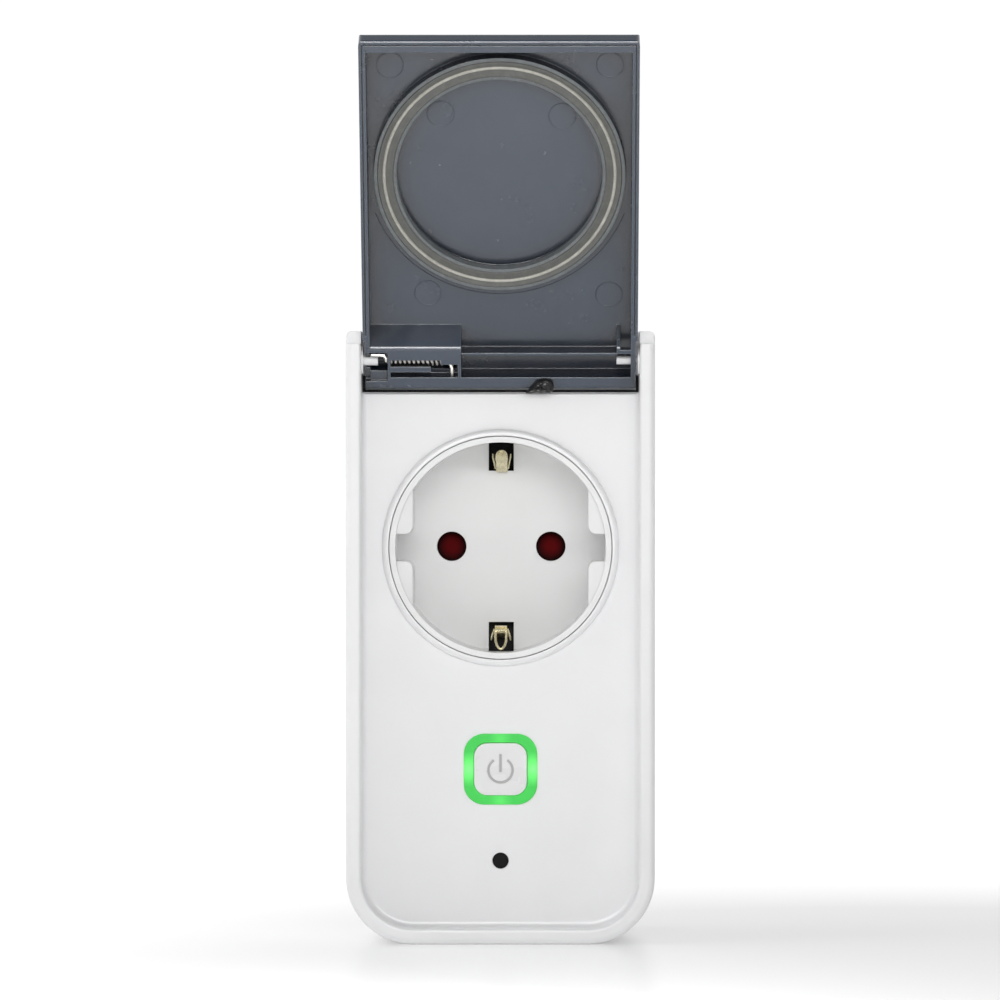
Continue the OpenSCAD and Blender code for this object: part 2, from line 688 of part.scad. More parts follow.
module varistor() color([0.1, 0.3, 0.7]) {
    rod_x(6.5, 43, 4.2, 16, 19.5);
    for (z = [41, 45]) rod_y(17.75, z, 0.4, 9, main_y[0]);
}

module fuse() color([0.2, 0.2, 0.2]) rod_y(0.5, 43, 3.4, 4, main_y[0]);

module shunt() color([0.7, 0.45, 0.3]) {
    block([-4, 4], [9, 9.8], [19, 21]);
    for (x = [-4, 3.2]) block([x, x + 0.8], [9, main_y[0]], [19, 21]);
}

front_housing();
rear_housing();
housing_seal();
hinge_strip();
wall_seal();
housing_screws();
screw_caps();
socket_insert();
shutter();
shutter_plate();
shutter_spring();
earth_contact();
contact_live();
contact_neutral();
plug_pin_live();
plug_pin_neutral();
plug_earth();
wire_live();
wire_neutral();
wire_earth();
lid();
lid_seal();
lid_spring();
lid_buffer();
button_cap();
button_sign();
switch_plunger();
light_ring();
button_seal();
indicator_window();
front_board();
tact_switch();
ring_leds();
radio_module();
main_board();
board_screws();
relay();
transformer();
filter_capacitor();
bulk_capacitor();
varistor();
fuse();
shunt();
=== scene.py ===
"""Outdoor smart plug with its weather lid open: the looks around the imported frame."""

import math

import bmesh
import bpy
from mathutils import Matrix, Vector


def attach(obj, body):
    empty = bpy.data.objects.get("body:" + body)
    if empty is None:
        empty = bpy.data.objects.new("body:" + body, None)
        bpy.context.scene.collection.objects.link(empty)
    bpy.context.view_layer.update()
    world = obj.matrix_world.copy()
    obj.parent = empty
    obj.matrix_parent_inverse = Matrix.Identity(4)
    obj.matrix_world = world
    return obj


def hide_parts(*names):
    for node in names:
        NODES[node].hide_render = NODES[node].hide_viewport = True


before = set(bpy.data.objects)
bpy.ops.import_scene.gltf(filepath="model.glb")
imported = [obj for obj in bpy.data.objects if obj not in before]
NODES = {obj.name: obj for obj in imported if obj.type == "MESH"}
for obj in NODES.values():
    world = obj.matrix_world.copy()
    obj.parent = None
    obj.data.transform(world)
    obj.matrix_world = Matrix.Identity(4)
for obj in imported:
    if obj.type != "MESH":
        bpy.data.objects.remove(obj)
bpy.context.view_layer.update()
MM = 0.001

# Places that part.scad sets, in millimetres
FACE_Y = -15.25                     # front of the white face
SOCKET_Z = 74.6                     # middle of the socket
BUTTON_Z = 32.7                     # middle of the button
HINGE = Vector((0, -17.75, 110.0))  # the middle of the hinge's axis
LEAN = math.radians(26)             # how far the open lid leans forward of upright
SEAL_V = 38.05                      # from the hinge to the middle of the seal, along the lid
FLOOR_N = -1.8                      # the lid's inner floor, measured square to the lid


# ---------- shader nodes ----------

def srgb(r, g, b):
    """Linear colour from 0 to 255 screen values."""
    def one(c):
        c /= 255
        return c / 12.92 if c <= 0.04045 else ((c + 0.055) / 1.055) ** 2.4
    return tuple(one(c) for c in (r, g, b))


def new_material(name):
    mat = bpy.data.materials.new(name)
    mat.use_nodes = True
    tree = mat.node_tree
    return mat, tree, tree.nodes["Principled BSDF"]


def link(tree, source, target):
    tree.links.new(source, target)


def feed(tree, value, socket):
    """Links a node's output to a socket, or sets a plain number or colour on it."""
    if isinstance(value, bpy.types.NodeSocket):
        link(tree, value, socket)
    elif isinstance(value, tuple):
        socket.default_value = (*value, 1)
    else:
        socket.default_value = value


def object_coords(tree, stretch=None):
    """Position in the piece's own space, in metres, times a factor for each axis if given."""
    place = tree.nodes.new("ShaderNodeTexCoord").outputs["Object"]
    if stretch is None:
        return place
    mapping = tree.nodes.new("ShaderNodeMapping")
    mapping.inputs["Scale"].default_value = stretch
    link(tree, place, mapping.inputs["Vector"])
    return mapping.outputs["Vector"]


def noise(tree, vector, scale, detail=3.0, rough=0.5):
    node = tree.nodes.new("ShaderNodeTexNoise")
    node.inputs["Scale"].default_value = scale
    node.inputs["Detail"].default_value = detail
    node.inputs["Roughness"].default_value = rough
    link(tree, vector, node.inputs["Vector"])
    return node.outputs["Fac"]


def ramp(tree, value, low, high, out_low, out_high):
    """Maps low..high to out_low..out_high, and stays inside them."""
    node = tree.nodes.new("ShaderNodeMapRange")
    node.inputs["From Min"].default_value = low
    node.inputs["From Max"].default_value = high
    node.inputs["To Min"].default_value = out_low
    node.inputs["To Max"].default_value = out_high
    link(tree, value, node.inputs["Value"])
    return node.outputs["Result"]


def mix_colour(tree, factor, a, b):
    node = tree.nodes.new("ShaderNodeMix")
    node.data_type = "RGBA"
    link(tree, factor, node.inputs["Factor"])
    feed(tree, a, node.inputs["A"])
    feed(tree, b, node.inputs["B"])
    return node.outputs["Result"]


def math_node(tree, operation, *values):
    node = tree.nodes.new("ShaderNodeMath")
    node.operation = operation
    for socket, value in zip(node.inputs, values):
        feed(tree, value, socket)
    return node.outputs[0]


def distance_to(tree, place, point):
    """Distance from a fixed point, in metres."""
    node = tree.nodes.new("ShaderNodeVectorMath")
    node.operation = "DISTANCE"
    link(tree, place, node.inputs[0])
    node.inputs[1].default_value = point
    return node.outputs["Value"]


def rounded_normal(tree, radius):
    """The normal with edges softened over a small radius, as a moulding has them."""
    node = tree.nodes.new("ShaderNodeBevel")
    node.samples = 4
    node.inputs["Radius"].default_value = radius
    return node.outputs["Normal"]


def bump(tree, height, strength, distance, normal=None):
    node = tree.nodes.new("ShaderNodeBump")
    node.inputs["Strength"].default_value = strength
    node.inputs["Distance"].default_value = distance
    link(tree, height, node.inputs["Height"])
    if normal is not None:
        link(tree, normal, node.inputs["Normal"])
    return node.outputs["Normal"]


def edge_mask(tree, radius):
    """1 on convex and concave edges, 0 on flat ground."""
    geometry = tree.nodes.new("ShaderNodeNewGeometry")
    dot = tree.nodes.new("ShaderNodeVectorMath")
    dot.operation = "DOT_PRODUCT"
    link(tree, rounded_normal(tree, radius), dot.inputs[0])
    link(tree, geometry.outputs["Normal"], dot.inputs[1])
    turned = math_node(tree, "SUBTRACT", 1.0, dot.outputs["Value"])
    return ramp(tree, turned, 0.02, 0.25, 0.0, 1.0)


def painted_corner_shade(tree, distance, closed):
    """Painted shade: 1 on open ground, falling to the given value where walls nearby close it in.
    """
    node = tree.nodes.new("ShaderNodeAmbientOcclusion")
    node.samples = 8
    node.inputs["Distance"].default_value = distance
    return ramp(tree, node.outputs["AO"], 0.5, 1.0, closed, 1.0)


# ---------- materials ----------

def plastic(name, colour, rough, grain=0.35, grain_mm=0.25, edge=0.12, vary=0.06, edge_highlight=None,
            subsurface=0.0, specular=0.5, corner=0.0, closed=1.0):
    """Moulded plastic: fine spark-eroded grain, slow colour drift and softened edges.

    edge is the softening radius and corner the reach of painted shade in inner corners, both in
    mm. An inner corner keeps the share closed of the colour, and worn is a lighter colour painted
    on edges as a highlight.
    """
    mat, tree, shader = new_material(name)
    place = object_coords(tree)
    drift = ramp(tree, noise(tree, place, 90, 2), 0.3, 0.7, 0, 1)
    dark = tuple(c * (1 - vary) for c in colour)
    light = tuple(min(1, c * (1 + vary * 0.6)) for c in colour)
    base = mix_colour(tree, drift, dark, light)
    # Painted highlight: edges, inner ones too, are lightened towards the given edge colour.
    if edge_highlight:
        edge_highlight_mix = math_node(tree, "MULTIPLY", edge_mask(tree, edge * MM * 1.5), 0.55)
        base = mix_colour(tree, edge_highlight_mix, base, edge_highlight)
    # Painted shade: the colour darkens towards black in inner corners.
    if corner:
        base = mix_colour(tree, painted_corner_shade(tree, corner * MM, closed), (0, 0, 0), base)
    link(tree, base, shader.inputs["Base Color"])
    smudge = noise(tree, place, 160, 3, 0.65)
    smudged = ramp(tree, smudge, 0.3, 0.75, rough - 0.05, rough + 0.07)
    link(tree, smudged, shader.inputs["Roughness"])
    fine = noise(tree, place, 1000 / grain_mm, 4, 0.6)
    surface = bump(tree, fine, grain, 0.02 * MM, rounded_normal(tree, edge * MM))
    link(tree, surface, shader.inputs["Normal"])
    shader.inputs["Specular IOR Level"].default_value = specular
    if subsurface:
        shader.inputs["Subsurface Weight"].default_value = subsurface
        shader.inputs["Subsurface Radius"].default_value = (0.9, 0.9, 0.9)
        shader.inputs["Subsurface Scale"].default_value = 0.6 * MM
    return mat


def rubber(name, colour, rough, grain, sheen=0.1, specular=0.5):
    """Soft moulded rubber or silicone with a dull skin and a little dust in it."""
    mat, tree, shader = new_material(name)
    place = object_coords(tree)
    dust = noise(tree, place, 700, 5, 0.7)
    pale = tuple(min(1, c * 1.4 + 0.004) for c in colour)
    dusty = mix_colour(tree, ramp(tree, dust, 0.45, 0.75, 0, 1), colour, pale)
    link(tree, dusty, shader.inputs["Base Color"])
    dull = ramp(tree, dust, 0.3, 0.7, rough - 0.08, rough + 0.12)
    link(tree, dull, shader.inputs["Roughness"])
    grain_mm = 0.35
    fine = noise(tree, place, 1000 / grain_mm, 3, 0.6)
    surface = bump(tree, fine, grain, 0.03 * MM, rounded_normal(tree, 0.08 * MM))
    link(tree, surface, shader.inputs["Normal"])
    shader.inputs["Sheen Weight"].default_value = sheen
    shader.inputs["Specular IOR Level"].default_value = specular
    return mat


def foam(name, colour):
    """Closed-cell foam: small pits all over."""
    mat, tree, shader = new_material(name)
    cells = tree.nodes.new("ShaderNodeTexVoronoi")
    cells.inputs["Scale"].default_value = 1600
    link(tree, object_coords(tree), cells.inputs["Vector"])
    pits = ramp(tree, cells.outputs["Distance"], 0.1, 0.6, 0, 1)
    # The pits are painted darker, as the shade in them.
    dark = tuple(c * 0.5 for c in colour)
    link(tree, mix_colour(tree, pits, colour, dark), shader.inputs["Base Color"])
    link(tree, bump(tree, pits, 0.8, 0.12 * MM), shader.inputs["Normal"])
    shader.inputs["Roughness"].default_value = 0.85
    return mat


def metal(name, colour, rough, brushed=(1, 1, 1), tarnish=0.25, tint=None):
    """Plated or drawn metal: fine lines, long where brushed is small, and a slow dull film."""
    mat, tree, shader = new_material(name)
    lines = noise(tree, object_coords(tree, brushed), 2600, 4, 0.6)
    film = noise(tree, object_coords(tree), 320, 4, 0.6)
    dull = tint or tuple(c * 0.62 for c in colour)
    mask = math_node(tree, "MULTIPLY", ramp(tree, film, 0.42, 0.72, 0, 1), tarnish)
    link(tree, mix_colour(tree, mask, colour, dull), shader.inputs["Base Color"])
    link(tree, ramp(tree, lines, 0.3, 0.7, rough * 0.8, rough * 1.35), shader.inputs["Roughness"])
    surface = bump(tree, lines, 0.25, 0.01 * MM, rounded_normal(tree, 0.06 * MM))
    link(tree, surface, shader.inputs["Normal"])
    shader.inputs["Metallic"].default_value = 1.0
    return mat


def lit_ring(name, colour, glow):
    """Green light guide, brightest beside the diodes at its left and right."""
    mat, tree, shader = new_material(name)
    place = object_coords(tree)
    spots = 0.0
    # x and z from the ring's middle and the reach, in mm, and the strength
    for x, z, reach, strength in ((-6.1, 0, 3.4, 1), (6.1, 0, 3.4, 1),
                                  (0, 5.9, 2.4, 0.35), (0, -5.9, 2.4, 0.35)):
        away = distance_to(tree, place, (x * MM, FACE_Y * MM, (BUTTON_Z + z) * MM))
        spot = ramp(tree, away, reach * MM, 0.4 * MM, 0, strength)
        spots = math_node(tree, "MAXIMUM", spots, spot)
    level = math_node(tree, "MULTIPLY_ADD", spots, glow * 0.75, glow * 0.8)
    drift = ramp(tree, noise(tree, place, 420, 3), 0.2, 0.8, 0.93, 1.07)
    link(tree, math_node(tree, "MULTIPLY", level, drift), shader.inputs["Emission Strength"])
    hot = tuple(min(1, c * 0.4 + 0.6 * w) for c, w in zip(colour, (0.4, 1.0, 0.38)))
    heat = math_node(tree, "MULTIPLY", spots, 0.6)
    link(tree, mix_colour(tree, heat, colour, hot), shader.inputs["Emission Color"])
    shader.inputs["Base Color"].default_value = (0.02, 0.22, 0.04, 1)
    shader.inputs["Roughness"].default_value = 0.35
    shader.inputs["Specular IOR Level"].default_value = 0.3
    fine = noise(tree, place, 3000, 3)
    surface = bump(tree, fine, 0.15, 0.01 * MM, rounded_normal(tree, 0.2 * MM))
    link(tree, surface, shader.inputs["Normal"])
    return mat


def circuit_board(name):
    """Green solder mask with raised tracks under it."""
    mat, tree, shader = new_material(name)
    upright = tree.nodes.new("ShaderNodeMapping")
    upright.inputs["Rotation"].default_value = (math.pi / 2, 0, 0)
    link(tree, object_coords(tree), upright.inputs["Vector"])
    tracks = tree.nodes.new("ShaderNodeTexBrick")
    tracks.inputs["Scale"].default_value = 260
    tracks.inputs["Mortar Size"].default_value = 0.035
    tracks.inputs["Color1"].default_value = (0, 0, 0, 1)
    tracks.inputs["Color2"].default_value = (0.1, 0.1, 0.1, 1)
    tracks.inputs["Mortar"].default_value = (1, 1, 1, 1)
    link(tree, upright.outputs["Vector"], tracks.inputs["Vector"])
    mask = tracks.outputs["Color"]
    board = mix_colour(tree, mask, (0.008, 0.09, 0.035), (0.05, 0.24, 0.09))
    link(tree, board, shader.inputs["Base Color"])
    link(tree, bump(tree, mask, 0.4, 0.03 * MM), shader.inputs["Normal"])
    shader.inputs["Roughness"].default_value = 0.35
    return mat


WHITE = srgb(236, 236, 237)
SOCKET_WHITE = srgb(234, 234, 234)
SLATE = srgb(45, 57, 74)
# The lid's corner and closed settings paint shade near its walls.
LID = {"grain": 0.2, "grain_mm": 0.3, "edge": 0.26, "specular": 0.75, "corner": 9, "closed": 0.35}
MATERIALS = {
    "shell": plastic("shell_white", WHITE, 0.42, grain=0.3, grain_mm=0.2, edge=0.15, vary=0.012,
                     subsurface=0.08),
    "socket": plastic("socket_white", SOCKET_WHITE, 0.38, grain=0.2, grain_mm=0.2, edge=0.15,
                      vary=0.012, subsurface=0.08),
    "button": plastic("button_white", SOCKET_WHITE, 0.3, grain=0.1, grain_mm=0.2, edge=0.25,
                      vary=0.01, subsurface=0.1),
    "natural": plastic("natural_plastic", srgb(205, 205, 200), 0.45, vary=0.04),
    # The lid's lighter edges are a painted highlight.
    "lid": plastic("lid_grey", SLATE, 0.23, edge_highlight=srgb(128, 138, 148), **LID),
    "lid_floor": plastic("lid_grey_floor", SLATE, 0.23, **LID),
    # The red shutter darkens near walls: painted shade inside the pin holes.
    "red": plastic("shutter_red", srgb(94, 0, 4), 0.5, grain=0.2, vary=0.3, specular=0.02,
                   corner=2, closed=0.1),
    "sign": plastic("sign_grey", srgb(172, 172, 172), 0.45, grain=0.1, vary=0.02),
    "ring": lit_ring("light_ring_green", srgb(58, 218, 76), 0.78),
    "window": plastic("window_black", (0.003,) * 3, 0.15, grain=0.02, vary=0.1, specular=0.1),
    "seal": rubber("seal_grey", srgb(84, 85, 81), 0.4, 0.2),
    "lip": rubber("seal_lip", srgb(94, 98, 100), 0.35, 0.15),
    # The bead's pale colour is a painted highlight on its round top.
    "bead": rubber("seal_bead", srgb(168, 166, 157), 0.4, 0.15),
    "black": rubber("black_rubber", (0.007,) * 3, 0.35, 0.5, sheen=0, specular=0.35),
    # Near-black with little shine: painted shade for the hinge strip and for the plates behind the
    # earth slots.
    "strip": rubber("shade_black", (0.003,) * 3, 0.6, 0.3, sheen=0, specular=0.1),
    "foam": foam("wall_foam", (0.03, 0.03, 0.032)),
    "steel": metal("spring_steel", (0.80, 0.78, 0.74), 0.24),
    # A darker copy of the spring steel: painted shade on the coil inside the barrel.
    "coil": metal("coil_steel_shaded", (0.30, 0.295, 0.285), 0.2, tarnish=0.6),
    "screw": metal("screw_steel", (0.68, 0.68, 0.69), 0.3, (1, 0.2, 1)),
    "nickel": metal("nickel_plate", (0.84, 0.81, 0.76), 0.2, (1, 0.05, 1), 0.15),
    "contact": metal("contact_nickel", srgb(232, 222, 184), 0.26, tarnish=0.6,
                     tint=srgb(140, 130, 92)),
    "bridge": metal("bridge_metal", srgb(120, 114, 96), 0.4, tarnish=0.6),
    "brass": metal("contact_brass", (0.84, 0.64, 0.28), 0.25, (1, 0.1, 1)),
    "copper": metal("shunt_copper", (0.80, 0.45, 0.28), 0.28),
    "can": metal("shield_can", (0.72, 0.72, 0.72), 0.35, (0.1, 1, 1), 0.3),
    "board": circuit_board("board_green"),
    "black_plastic": plastic("black_plastic", (0.012, 0.012, 0.013), 0.4, vary=0.2),
    "diode": plastic("diode_resin", srgb(240, 236, 205), 0.2, grain=0.05),
    "relay": plastic("relay_blue", srgb(40, 90, 180), 0.3, grain=0.15),
    "film": plastic("film_yellow", srgb(226, 178, 40), 0.3, grain=0.3, grain_mm=0.6),
    "tape": plastic("tape_yellow", srgb(214, 190, 70), 0.35, grain=0.35, grain_mm=0.9),
    "sleeve": plastic("capacitor_sleeve", srgb(24, 26, 44), 0.25, grain=0.1),
    "varistor": plastic("varistor_blue", srgb(40, 90, 165), 0.25, grain=0.5, grain_mm=0.9),
    "brown": plastic("wire_brown", srgb(96, 56, 30), 0.35, grain=0.15),
    "blue": plastic("wire_blue", srgb(30, 80, 190), 0.35, grain=0.15),
    "earth": plastic("wire_green_yellow", srgb(96, 170, 50), 0.35, grain=0.15),
}
PAINTED = {
    "shell": ("front_housing", "rear_housing"),
    "socket": ("socket_insert",),
    "button": ("button_cap",),
    "natural": ("shutter_plate", "screw_caps"),
    "lid": ("lid",),
    "red": ("shutter",),
    "sign": ("button_sign",),
    "ring": ("light_ring",),
    "window": ("indicator_window",),
    "seal": ("lid_seal",),
    "black": ("lid_buffer", "button_seal", "housing_seal"),
    # The black hinge strip stands in the shadow gap under the lid's hinge edge, as painted shade.
    "strip": ("hinge_strip",),
    "foam": ("wall_seal",),
    "steel": ("lid_spring", "shutter_spring"),
    "screw": ("housing_screws", "board_screws"),
    "nickel": ("plug_pin_live", "plug_pin_neutral", "plug_earth"),
    "contact": ("earth_contact",),
    "brass": ("contact_live", "contact_neutral"),
    "copper": ("shunt",),
    "can": ("radio_module",),
    "board": ("front_board", "main_board"),
    "black_plastic": ("switch_plunger", "tact_switch", "fuse"),
    "diode": ("ring_leds",),
    "relay": ("relay",),
    "film": ("filter_capacitor",),
    "tape": ("transformer",),
    "sleeve": ("bulk_capacitor",),
    "varistor": ("varistor",),
    "brown": ("wire_live",),
    "blue": ("wire_neutral",),
    "earth": ("wire_earth",),
}


def paint(obj, key):
    obj.data.materials.clear()
    obj.data.materials.append(MATERIALS[key])


for key, node_names in PAINTED.items():
    for node_name in node_names:
        paint(NODES[node_name], key)


# ---------- shapes: each is a pair of vertices, in millimetres, and faces ----------

def skin(rings, around, closed=False):
    """Faces between rings of points, with flat ends unless the last ring meets the first."""
    faces = []
    for i in range(rings if closed else rings - 1):
        here, there = i * around, (i + 1) % rings * around
        for k in range(around):
            m = (k + 1) % around
            faces.append((here + k, here + m, there + m, there + k))
    if not closed:
        faces.append(tuple(range(around))[::-1])
        faces.append(tuple((rings - 1) * around + k for k in range(around)))
    return faces


def circle(sides):
    """Cosine and sine of each step round a full turn."""
    turns = [2 * math.pi * k / sides for k in range(sides)]
    return [(math.cos(a), math.sin(a)) for a in turns]


def join(shapes):
    verts, faces = [], []
    for v, f in shapes:
        start = len(verts)
        verts += v
        faces += [tuple(start + i for i in face) for face in f]
    return verts, faces


def tube(points, radius, sides):
    """Round tube along a path, with flat ends."""
    points = [Vector(p) for p in points]
    last = len(points) - 1
    verts = []
    side = None
    for i, p in enumerate(points):
        along = (points[min(i + 1, last)] - points[max(i - 1, 0)]).normalized()
        if side is None:
            side = along.orthogonal()
        side = (side - along * side.dot(along)).normalized()
        up = along.cross(side)
        verts += [p + (side * c + up * s) * radius for c, s in circle(sides)]
    return verts, skin(len(points), sides)


def ribbon(stations, thickness):
    """Sheet-metal strip along stations of (y, z, left x, right x), thick across its face."""
    last = len(stations) - 1
    verts = []
    for i, (y, z, left, right) in enumerate(stations):
        y0, z0 = stations[max(i - 1, 0)][:2]
        y1, z1 = stations[min(i + 1, last)][:2]
        along = Vector((0, y1 - y0, z1 - z0)).normalized()
        out = Vector((0, -along.z, along.y)) * thickness / 2
        for x, s in ((left, 1), (right, 1), (right, -1), (left, -1)):
            verts.append(Vector((x, y, z)) + out * s)
    return verts, skin(len(stations), 4)


def wings(stations, middle, thickness):
    """Two strips beside a middle line, along stations of (y, z, inner, outer) from that line."""
    return [ribbon([(y, z, middle + s * inner, middle + s * outer)
                    for y, z, inner, outer in stations], thickness) for s in (-1, 1)]


def lid_point(x, v, n):
    """A place on the open lid: x across it, v along it and n square to it, from the hinge."""
    return HINGE + Vector((x, -n * math.cos(LEAN) - v * math.sin(LEAN),
                           -n * math.sin(LEAN) + v * math.cos(LEAN)))


def seal_band(profile):
    """Closed ring round the seal's middle, from a profile of (radius, n)."""
    turns = circle(160)
    verts = [lid_point(r * c, SEAL_V + r * s, n) for c, s in turns for r, n in profile]
    return verts, skin(len(turns), len(profile), closed=True)


def add_piece(name, shape, key, body, smooth=True):
    verts, faces = shape
    mesh = bpy.data.meshes.new(name)
    mesh.from_pydata([Vector(v) * MM for v in verts], [], faces)
    mesh.validate()
    work = bmesh.new()
    work.from_mesh(mesh)
    bmesh.ops.recalc_face_normals(work, faces=work.faces)
    work.to_mesh(mesh)
    work.free()
    obj = bpy.data.objects.new(name, mesh)
    bpy.context.scene.collection.objects.link(obj)
    if smooth:
        mesh.shade_smooth()
        mesh.set_sharp_from_angle(angle=math.radians(40))
    paint(obj, key)
    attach(obj, body)
    return obj


# ---------- pieces ----------

def add_lid_spring():
    """Closing spring: a close-wound coil round the hinge axis, with a leg at each end."""
    mean, wire, pitch, turns, first = 1.02, 0.4, 0.86, 12, -20.7
    steps, sides = 22, 10
    coil = []
    for i in range(turns * steps + 1):
        a = math.radians(40) + 2 * math.pi * i / steps
        coil.append((first + pitch * i / steps, mean * math.cos(a), mean * math.sin(a)))
    shape = tube([lid_point(*p) for p in coil], wire, sides)
    # The coil takes the darker steel as painted shade, and the legs keep the bright steel.
    piece = add_piece("lid_spring_wire", shape, "coil", "lid")
    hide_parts("lid_spring")
    start, end = coil[0], coil[-1]
    left = [(-24.3, 1.7, 1.35), (-22.7, 1.7, 1.35), (-21.95, 1.62, 1.35), (-21.55, 1.2, 1.45),
            (-21.45, 0.5, 1.4), (-21.3, 0.1, 1.25), (-21.0, start[1], start[2]), start]
    right = [end, (end[0] + 0.4, end[1] * 0.8, 1.0), (-9.35, -0.3, 1.2), (-9.1, -1.0, 1.45),
             (-9.1, -1.8, 1.45), (-9.1, -2.45, 1.2)]
    legs = join([tube([lid_point(*p) for p in path], wire, sides) for path in (left, right)])
    add_piece("lid_spring_legs", legs, "steel", "lid")


def upper_tongue():
    """Rises behind the slot's lower edge, bulges and rounds off, with a thick rib at each side."""
    middle = 0.15
    stations = [(7.9, 17.6, 0.7), (3.5, 16.4, 0.8), (0.4, 14.6, 0.9), (-0.6, 14.4, 1.05),
                (-2.0, 14.8, 1.1), (-4.0, 15.5, 1.08), (-6.4, 16.3, 1.1), (-8.2, 17.0, 1.2),
                (-9.4, 17.5, 1.1), (-10.2, 18.0, 0.8), (-10.5, 18.3, 0.35)]
    blade = ribbon([(y, z, middle - w, middle + w) for y, z, w in stations], 0.45)
    ribs = wings([(-2.6, 15.2, 1.15, 1.35), (-5.0, 16.2, 1.3, 1.55), (-7.4, 17.4, 1.6, 1.82)],
                 middle, 0.8)
    return [blade] + ribs


def lower_tongue():
    """A stem with two cross bars, two wings and an open wire loop."""
    stem = ribbon([(7.9, -17.6, -0.7, 0.7), (3.0, -17.3, -0.8, 0.8), (-1.0, -16.6, -0.9, 0.9),
                   (-3.4, -15.9, -1.15, 1.15), (-4.6, -15.5, -1.15, 1.15)], 0.45)
    bars = [ribbon([(-4.6, -15.3, -1.15, 1.15), (-5.4, -15.55, -1.15, 1.15)], 0.55),
            ribbon([(-5.7, -15.75, -1.1, 1.1), (-6.4, -16.2, -1.1, 1.1)], 0.5)]
    half = [(1.0, -6.2, -16.1), (1.02, -7.4, -17.0), (0.98, -8.4, -17.9), (0.75, -9.2, -18.7),
            (0.35, -9.7, -19.2)]
    other_half = [(-x, y, z) for x, y, z in reversed(half)]
    loop = tube(half + [(0.0, -9.8, -19.35)] + other_half, 0.24, 8)
    sides = wings([(-5.0, -15.9, 1.15, 1.4), (-6.2, -16.7, 1.45, 1.7), (-7.4, -17.5, 1.75, 1.95)],
                  0, 0.7)
    return [stem] + bars + [loop] + sides


def slot_shadow_plate(sign):
    """Thin plate behind one earth slot, black there as painted shade: sign is 1 for the upper slot
    and -1 for the lower one.
    """
    front, back = 3.25, 3.55
    outline = ((-2.9, 14.0), (2.9, 14.0), (2.9, 20.6), (-2.9, 20.6))
    return [(x, y, sign * z) for y in (front, back) for x, z in outline], skin(2, 4)


def at_socket(shapes):
    """Joins shapes that are drawn round the socket's middle, and puts them there."""
    verts, faces = join(shapes)
    return [Vector(v) + Vector((0, 0, SOCKET_Z)) for v in verts], faces


def add_earth_strip():
    """Spring-metal earth strip: a bridge behind the floor and a shaped tongue in each slot."""
    # Black plates behind the earth slots: painted shade for the slots' dark inside.
    shade_backings = [slot_shadow_plate(-1), slot_shadow_plate(1)]
    add_piece("slot_shade_backing", at_socket(shade_backings), "strip", "housing",
              smooth=False)
    waist = ((-18, 0.7), (-14, 0.7), (-13, 2), (0, 2), (13, 2), (14, 0.7), (18, 0.7))
    bridge = ribbon([(7.9, z, -w, w) for z, w in waist], 0.6)
    add_piece("earth_bridge", at_socket([bridge]), "bridge", "housing")
    tongues = upper_tongue() + lower_tongue()
    piece = add_piece("earth_strip", at_socket(tongues), "contact", "housing")
    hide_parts("earth_contact")


def add_lid_seal():
    """Silicone seal in its channel with a bead on it, and a thin lip over each channel wall."""
    base = [(19.92, -1.8), (22.68, -1.8), (22.68, 0.48), (22.6, 0.6), (22.3, 0.58), (21.9, 0.42),
            (21.0, 0.42), (20.5, 0.5), (20.1, 0.62), (19.86, 0.62), (19.8, 0.56), (19.8, 0.51),
            (19.92, 0.51)]
    piece = add_piece("seal_ring", seal_band(base), "seal", "lid")
    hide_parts("lid_seal")
    inner = [(19.74, 0.51), (19.72, 0.6), (19.3, 0.62), (19.13, 0.54), (19.1, -1.25),
             (19.19, -1.3), (19.19, 0.51)]
    outer = [(23.38, 0.51), (23.34, 0.57), (23.2, 0.6), (22.76, 0.58), (22.74, 0.51)]
    lips = join([seal_band(inner), seal_band(outer)])
    add_piece("seal_lip", lips, "lip", "lid")
    middle, height, radius, steps = 21.45, 0.42, 0.29, 9
    bead = []
    for k in range(steps + 1):
        a = math.pi * k / steps
        bead.append((middle + radius * math.cos(a), height + radius * math.sin(a)))
    bead += [(middle - radius, 0.3), (middle + radius, 0.3)]
    # Painted pale: the highlight on the bead's round top.
    add_piece("seal_bead", seal_band(bead), "bead", "lid")


def disc_mark(x, v):
    """The very low round rim that an ejector pin leaves on the lid's floor."""
    radius, rim, inside = 2.6, 0.03, 0.02
    rings = [(radius, -0.02), (radius, rim), (radius - 0.12, rim), (radius - 0.2, inside),
             (0.02, inside)]
    turns = circle(40)
    verts = [lid_point(x + r * c, v + r * s, FLOOR_N + h) for r, h in rings for c, s in turns]
    return verts, skin(len(rings), len(turns))


def add_lid_marks():
    """Ejector marks on the lid's floor and the mould line round the lower part of the seal."""
    marks = [(-20.2, 59.2), (20.4, 59.2), (-10.9, 49.5), (11.6, 49.0), (-13.6, 13.1),
             (20.4, 12.8)]
    across, along, steps = 25.1 * 0.985, 25.1, 60
    arc = []
    for i in range(steps + 1):
        a = math.radians(200 + 140 * i / steps)
        arc.append(lid_point(across * math.cos(a), SEAL_V + along * math.sin(a), FLOOR_N - 0.02))
    shape = join([disc_mark(x, v) for x, v in marks] + [tube(arc, 0.07, 8)])
    add_piece("lid_marks", shape, "lid_floor", "lid", smooth=False)


